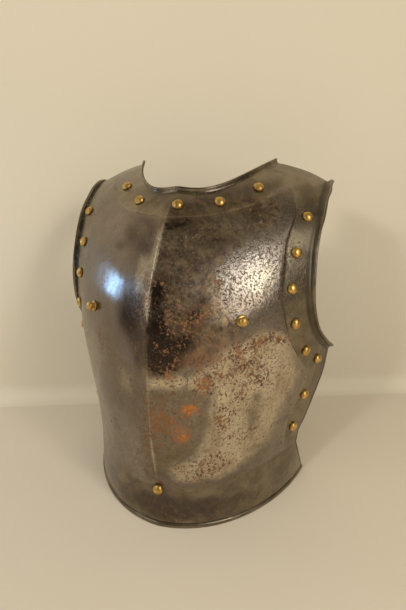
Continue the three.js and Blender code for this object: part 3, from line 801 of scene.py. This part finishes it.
class Shading(Nodes):
    """A material's nodes."""

    def __init__(self, name):
        self.material = bpy.data.materials.new(name)
        self.material.use_nodes = True
        super().__init__(self.material.node_tree)
        self.shader = self.tree.nodes["Principled BSDF"]
        self.place = self.tree.nodes.new("ShaderNodeTexCoord").outputs["Object"]

    def set(self, **sockets):
        for name, value in sockets.items():
            self.put(value, self.shader.inputs[name.replace("_", " ")])

    def field(self, name):
        return self.node("ShaderNodeAttribute", {}, attribute_name=name).outputs["Fac"]

    def noise(self, scale, detail, roughness=0.5, distortion=0.0, place=None):
        """Noise of so many blots in a metre."""
        inputs = {"Vector": place or self.place, "Scale": scale, "Detail": detail,
                  "Roughness": roughness, "Distortion": distortion}
        return self.node("ShaderNodeTexNoise", inputs).outputs["Fac"]

    def stretched(self, x, y, z):
        """Object coordinates stretched along the axes."""
        inputs = {"Vector": self.place, "Scale": (x, y, z)}
        return self.node("ShaderNodeMapping", inputs).outputs["Vector"]

    def ragged(self, kind, noise, reach, low, high):
        """Mask of a stain whose edge follows a noise."""
        strength = self.field(kind)
        shaped = self.add(self.add(strength, noise, reach), -0.5 * reach)
        return self.times(self.remap(shaped, low, high), self.remap(strength, 0.0, FAINT))

    def bump(self, height, distance, normal=None):
        inputs = {"Height": height, "Distance": distance}
        if normal is not None:
            inputs["Normal"] = normal
        return self.node("ShaderNodeBump", inputs).outputs["Normal"]


# Reflectances of the steel and colours of what lies on it.
CLEAN, CLEAN_DULL = rgb(0.31, 0.265, 0.222), rgb(0.215, 0.178, 0.146)
# polished steel, also painted as highlights
POLISHED_AND_HIGHLIGHT, POLISHED_AND_HIGHLIGHT_WARM = rgb(0.68, 0.60, 0.46), rgb(0.48, 0.40, 0.285)
BORDER, BORDER_DULL = rgb(0.29, 0.245, 0.175), rgb(0.17, 0.14, 0.10)
TARNISH, KHAKI = rgb(0.135, 0.095, 0.070), rgb(0.31, 0.235, 0.145)
TARNISH_DEEP = rgb(0.027, 0.020, 0.016)
OLIVE, OLIVE_DEEP = rgb(0.27, 0.21, 0.132), rgb(0.175, 0.138, 0.092)
SMUDGE = rgb(0.215, 0.185, 0.145)
# smoky stain, also painted as dark reflections on the neck border and the flange
SMOKE_AND_SHADE, SMOKE_AND_SHADE_WARM = rgb(0.088, 0.070, 0.068), rgb(0.125, 0.094, 0.070)
# blued steel, also painted as the window's reflections
BLUED_AND_GLINT = rgb(0.205, 0.185, 0.205)
RUST_FILM = rgb(0.20, 0.108, 0.056)
RUST, RUST_DEEP = rgb(0.235, 0.112, 0.046), rgb(0.095, 0.046, 0.024)
ORANGE, ORANGE_DEEP = rgb(0.46, 0.155, 0.026), rgb(0.22, 0.09, 0.028)
INNER, INNER_RUST = rgb(0.22, 0.185, 0.145), rgb(0.14, 0.08, 0.05)
GRAIN = rgb(0.13, 0.103, 0.078)
# painted shade for the grooves and the turned lips
GROOVE_SHADE = rgb(0.045, 0.036, 0.026)
BRASS, BRASS_DULL = rgb(0.80, 0.54, 0.17), rgb(0.56, 0.33, 0.10)
# BRASS_FOOT_SHADE is painted shade where a head meets the sheet
BRASS_SPOT, BRASS_FOOT_SHADE = rgb(0.09, 0.055, 0.03), rgb(0.05, 0.036, 0.022)

# How a noise tears the edge of each kind of stain: which noise, how strongly, and the values at
# which the stain starts and is full.
RAGGED = {
    "dark": ("patchy", 1.5, 0.22, 0.78), "pale": ("patchy", 1.6, 0.25, 0.85),
    "olive": ("patchy", 2.1, 0.25, 1.00), "smudge": ("patchy", 1.5, 0.20, 1.00),
    "deep": ("mottle", 1.7, 0.22, 0.72), "film": ("mottle", 1.6, 0.20, 0.90),
    "smoke": ("cloud", 0.9, 0.15, 0.90), "blue": ("cloud", 0.8, 0.10, 0.90),
    "orange": ("gritty", 2.6, 0.25, 0.95), "wear": ("speck", 0.8, 0.15, 0.70),
}
FAINT = 0.12                  # a stain weaker than this fades out, whatever the noise
# Rust specks: their least density, what density and clumps add to the noise, and the values
# at which a speck starts and is full.
RUST_LEAST, RUST_DENSITY, RUST_CLUMPS, RUST_EDGE = 0.06, 0.135, 0.34, (0.612, 0.652)
STREAK = (1.6, 1.6, 0.22)     # streaks run upright
# Depths of the bumps, in metres.
WAVE_DEPTH, PIT_DEPTH, BRASS_DEPTH = 0.0008, 0.0003, 0.00035
PEEL_DEPTH = 0.00003, 0.00022                  # where the steel is smooth, and where it is pitted


def steel_masks(s):
    """Noises of the steel, from clouds to specks, and the masks of what lies on it."""
    cloud, mottle = s.noise(34, 5, 0.62, 0.5), s.noise(120, 5, 0.66, 0.4)
    speck = s.blend(0.25, s.noise(330, 5, 0.7), s.noise(1000, 3, 0.6))
    m = {"cloud": cloud, "mottle": mottle, "speck": speck,
         "patchy": s.blend(0.45, cloud, mottle), "gritty": s.blend(0.6, mottle, speck)}
    for name in ("border", "inside", "groove"):
        m[name] = s.field(name)
    for kind, (noise, reach, low, high) in RAGGED.items():
        m[kind] = s.ragged(kind, m[noise], reach, low, high)
    density = s.add(s.field("rust"), RUST_LEAST)
    specks = s.add(s.add(speck, density, RUST_DENSITY), s.noise(62, 3, 0.6), RUST_CLUMPS)
    specks = s.add(specks, -RUST_CLUMPS / 2)
    m["rust"] = s.times(s.remap(specks, *RUST_EDGE), s.rest(m["inside"]))
    # painted shade in the grooves and turned lips: full where strong, broken by specks where faint
    broken = s.blend(s.remap(m["groove"], 0.6, 0.9), 1.0, s.remap(speck, 0.60, 0.50))
    m["grime"] = s.times(m["groove"], broken)
    return m


def steel_layers(s, m):
    """What covers the clean steel, from the lowest up: mask, the most that it covers, colour."""
    cloud, mottle, speck = m["cloud"], m["mottle"], m["speck"]
    streaks = s.noise(60, 4, 0.6, 0.2, place=s.stretched(*STREAK))
    tarnish = s.between(s.blend(0.3, mottle, speck), 0.42, 0.62, TARNISH, KHAKI)
    return [
        (s.remap(mottle, 0.52, 0.72), 0.50, CLEAN_DULL),
        (m["olive"], 0.85, s.between(mottle, 0.42, 0.62, OLIVE, OLIVE_DEEP)),
        # polished steel and painted highlights
        (m["pale"], 1.00, s.between(cloud, 0.35, 0.65, POLISHED_AND_HIGHLIGHT, POLISHED_AND_HIGHLIGHT_WARM)),
        (s.remap(streaks, 0.50, 0.75), 0.45, CLEAN_DULL),
        (m["smudge"], 0.70, SMUDGE),
        (s.remap(speck, 0.48, 0.60), 0.42, GRAIN),
        (m["border"], 0.90, s.between(cloud, 0.35, 0.65, BORDER, BORDER_DULL)),
        # blued steel and painted window glints, laid over the borders too
        (m["blue"], 0.70, BLUED_AND_GLINT),
        (m["dark"], 0.93, s.mix(m["deep"], tarnish, TARNISH_DEEP)),
        # smoky stains and painted dark reflections
        (m["smoke"], 0.88, s.between(mottle, 0.42, 0.60, SMOKE_AND_SHADE, SMOKE_AND_SHADE_WARM)),
        # the ridge rubbed bright, with its painted highlight
        (s.times(m["wear"], s.rest(m["border"])), 0.75, POLISHED_AND_HIGHLIGHT),
        (m["film"], 0.75, RUST_FILM),
        (m["rust"], 1.00, s.between(mottle, 0.40, 0.60, RUST_DEEP, RUST)),
        (m["orange"], 1.00, s.between(speck, 0.42, 0.60, ORANGE_DEEP, ORANGE)),
        # painted shade in the grooves and turned lips
        (m["grime"], 1.00, GROOVE_SHADE),
        (m["inside"], 1.00, s.between(mottle, 0.45, 0.62, INNER, INNER_RUST)),
    ]


def steel_roughness(s, m, matt):
    """Roughness of the clean steel, and in turn of what lies on it."""
    rough = s.blend(s.remap(m["mottle"], 0.35, 0.65), 0.19, 0.27)
    for mask, value in [
        (m["blue"], 0.09), (m["border"], 0.27), (s.most(m["smudge"], m["olive"]), 0.40),
        (s.times(m["dark"], 0.5), 0.36), (matt, 0.85), (s.most(m["inside"], m["grime"]), 0.55),
    ]:
        rough = s.blend(mask, rough, value)
    return rough


def steel_bumps(s, m):
    """Slow waves of the hammered sheet, a fine peel, and pits and rust specks."""
    pitted = s.field("pits")
    pits = s.times(s.remap(s.noise(430, 4, 0.7), 0.53, 0.63), pitted)
    normal = s.bump(s.noise(24, 2), WAVE_DEPTH)
    normal = s.bump(s.noise(260, 3, 0.6), s.remap(pitted, 0.0, 1.0, *PEEL_DEPTH), normal)
    return s.bump(s.add(s.times(m["rust"], 0.5), pits, -1.0), PIT_DEPTH, normal)


def steel_material():
    """Old polished steel: tarnish, rust, smudges, worn ridge and matt borders, with painted light:
    dark reflections, window glints, a highlight along the ridge and shade in the grooves.
    """
    s = Shading("old_steel")
    m = steel_masks(s)
    colour = s.between(s.noise(11, 3), 0.35, 0.65, CLEAN, CLEAN_DULL)
    for mask, cover, paint in steel_layers(s, m):
        colour = s.mix(s.times(mask, cover), colour, paint)
    matt = s.most(s.most(m["rust"], s.times(m["orange"], 0.9)), s.times(m["film"], 0.45))
    s.set(Base_Color=colour, Roughness=steel_roughness(s, m, matt), Normal=steel_bumps(s, m),
          Metallic=s.rest(s.times(matt, 0.9)))
    return s.material


def brass_material():
    """Old brass with duller patches, dark spots and painted shade round the foot of each head."""
    s = Shading("old_brass")
    patina, spots = s.noise(210, 4, 0.6), s.noise(800, 4, 0.6)
    colour = s.between(patina, 0.38, 0.62, BRASS, BRASS_DULL)
    colour = s.between(spots, 0.58, 0.68, colour, BRASS_SPOT)
    # painted shade round the foot of the head, broken up by the patina
    foot_shade = s.times(s.field("base"), s.remap(patina, 0.70, 0.35))
    s.set(Base_Color=s.mix(foot_shade, colour, BRASS_FOOT_SHADE), Metallic=1.0,
          Roughness=s.blend(foot_shade, s.remap(patina, 0.3, 0.7, 0.28, 0.42), 0.7),
          Normal=s.bump(s.blend(0.4, patina, spots), BRASS_DEPTH))
    return s.material


def backdrop_material(name, colours, see_through_back=False):
    """Pale painted surface; a wall is seen only from the front, so that it hides nothing."""
    s = Shading(name)
    s.set(Base_Color=s.mix(s.noise(3, 2), *colours), Roughness=0.75, Specular_IOR_Level=0.2)
    if see_through_back:
        clear = s.node("ShaderNodeBsdfTransparent", {}).outputs["BSDF"]
        back = s.tree.nodes.new("ShaderNodeNewGeometry").outputs["Backfacing"]
        either = s.node("ShaderNodeMixShader", {0: back, 1: s.shader.outputs["BSDF"], 2: clear})
        s.put(either.outputs["Shader"], s.tree.nodes["Material Output"].inputs["Surface"])
    return s.material


# ---- Studio -------------------------------------------------------------------------------------

CAMERA_AT = (0.1787, -0.4649, 0.4031)
CAMERA_AZIMUTH, CAMERA_ELEVATION = 18.13, 16.84
LENS, FILM = 24.49, 36        # focal length and film height
FLOOR_HALF = 3.0
WALL_AZIMUTH = 22             # the wall behind runs nearly square to the view
WALL_DISTANCE = 0.235
WALL_SWEEP = 0.03             # radius where the wall meets the floor
WALL_LIFT = 0.0004            # keeps its foot clear of the floor
WALL_ARC = range(0, 91, 15)   # degrees round the sweep
WALL_WIDTH, WALL_HEIGHT = 4.0, 2.2
FLOOR_COLOURS = rgb(0.55, 0.485, 0.385), rgb(0.58, 0.515, 0.41)
WALL_COLOURS = rgb(0.575, 0.515, 0.405), rgb(0.605, 0.545, 0.43)


def towards(azimuth, elevation):
    """Unit vector from the object to a compass place: azimuth 0 is -Y, 90 is +X."""
    a, e = math.radians(azimuth), math.radians(elevation)
    return Vector((math.sin(a) * math.cos(e), -math.cos(a) * math.cos(e), math.sin(e)))


def aim(thing, direction):
    """Turns a camera or a lamp to look along a direction."""
    thing.rotation_euler = direction.to_track_quat("-Z", "Y").to_euler()


def make_camera():
    """The camera, where the photograph was taken from."""
    camera = link("camera", bpy.data.cameras.new("camera"))
    camera.data.lens, camera.data.sensor_width = LENS, FILM
    camera.location = CAMERA_AT
    aim(camera, -towards(CAMERA_AZIMUTH, CAMERA_ELEVATION))
    bpy.context.scene.camera = camera


def make_floor():
    """A wide level floor under the object."""
    mesh = bpy.data.meshes.new("floor")
    h = FLOOR_HALF
    mesh.from_pydata([(-h, -h, 0), (h, -h, 0), (h, h, 0), (-h, h, 0)], [], [(0, 1, 2, 3)])
    mesh.materials.append(backdrop_material("pale_floor", FLOOR_COLOURS))
    link("floor", mesh)


def make_wall():
    """Wall behind the object, with a curved foot."""
    back = -towards(WALL_AZIMUTH, 0)
    along = Vector((-back.y, back.x, 0))
    profile = [(WALL_DISTANCE - WALL_SWEEP * (1 - math.sin(a)),
                WALL_LIFT + WALL_SWEEP * (1 - math.cos(a))) for a in map(math.radians, WALL_ARC)]
    profile.append((WALL_DISTANCE, WALL_HEIGHT))
    vertices = [back * d + along * side * WALL_WIDTH / 2 + Vector((0, 0, z))
                for d, z in profile for side in (-1, 1)]
    faces = [(2 * k, 2 * k + 2, 2 * k + 3, 2 * k + 1) for k in range(len(profile) - 1)]
    mesh = bpy.data.meshes.new("wall")
    mesh.from_pydata(vertices, [], faces)
    mesh.materials.append(backdrop_material("pale_wall", WALL_COLOURS, see_through_back=True))
    mesh.shade_smooth()
    link("wall", mesh)


# Soft lights: azimuth and elevation from the middle of the chest, distance, width, height, watts,
# colour, and whether the steel mirrors the light or only the room takes it.
LIGHTS = [
    ("ceiling", 5, 58, 2.6, 2.2, 2.2, 27.0, (1.0, 0.95, 0.86), False),
    ("right_key", 62, 30, 2.2, 0.28, 0.28, 9.0, (1.0, 0.92, 0.80), False),
    ("left_key", -20, 22, 2.2, 0.22, 0.22, 16.0, (1.0, 0.97, 0.92), False),
    ("lamp", 57, 27, 1.2, 0.36, 0.46, 3.0, (0.97, 0.98, 0.95), True),
    ("window", -84, 10, 0.6, 0.09, 0.13, 0.30, (0.27, 0.56, 1.0), True),
    ("glow", 56, 9, 1.2, 0.42, 0.30, 1.5, (1.0, 0.93, 0.80), True),
    ("side_glow", 78, 33, 1.2, 0.28, 0.42, 0.5, (1.0, 0.93, 0.78), True),
    ("doorway", -46, 36, 1.4, 0.60, 0.55, 1.6, (1.0, 0.95, 0.82), True),
    ("low_window", -32, 8, 1.2, 0.30, 0.26, 0.7, (0.80, 0.90, 1.0), True),
]
CHEST = Vector((0, -0.05, 0.27))


def make_lights():
    """The lights, each turned towards the chest."""
    for name, azimuth, elevation, distance, width, height, watts, colour, mirrored in LIGHTS:
        lamp = link(name, bpy.data.lights.new(name, "AREA"))
        lamp.data.shape, lamp.data.size, lamp.data.size_y = "RECTANGLE", width, height
        lamp.data.energy, lamp.data.color = watts, colour
        lamp.location = CHEST + towards(azimuth, elevation) * distance
        aim(lamp, -towards(azimuth, elevation))
        lamp.visible_glossy = mirrored
        lamp.visible_camera = False


ROOM_FRONT = rgb(0.150, 0.118, 0.080)
ROOM_LEFT, LEFT_EDGE = rgb(0.20, 0.172, 0.150), (-0.6, -0.95)     # sideways, from and to
ROOM_ABOVE, ABOVE_EDGE = rgb(0.30, 0.265, 0.19), (0.45, 0.95)     # upwards, from and to
ROOM_SEEN = rgb(0.60, 0.52, 0.39)


def make_room():
    """The room that the steel mirrors: dim in front, lighter to the left and above. The camera
    sees a plain pale one beyond the floor."""
    world = bpy.data.worlds.new("room")
    bpy.context.scene.world = world
    world.use_nodes = True
    s = Nodes(world.node_tree)
    place = s.tree.nodes.new("ShaderNodeTexCoord").outputs["Generated"]
    split = s.node("ShaderNodeSeparateXYZ", {0: place})
    room = s.between(split.outputs["Z"], *ABOVE_EDGE, ROOM_FRONT, ROOM_ABOVE)
    room = s.between(split.outputs["X"], *LEFT_EDGE, room, ROOM_LEFT)
    seen = s.tree.nodes.new("ShaderNodeLightPath").outputs["Is Camera Ray"]
    s.put(s.mix(seen, room, ROOM_SEEN), s.tree.nodes["Background"].inputs["Color"])


def make_object():
    """The steel sheet, and a brass fitting for each other node of the CAD part."""
    face = make_plate(steel_material())
    brass = brass_material()
    for name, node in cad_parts.items():
        if name != "breastplate":
            make_fitting(node, face, STUD_PROFILE if "stud" in name else RIVET_PROFILE, brass)


make_object()
make_floor()
make_wall()
make_lights()
make_room()
make_camera()
bpy.context.scene.view_settings.view_transform = "Standard"
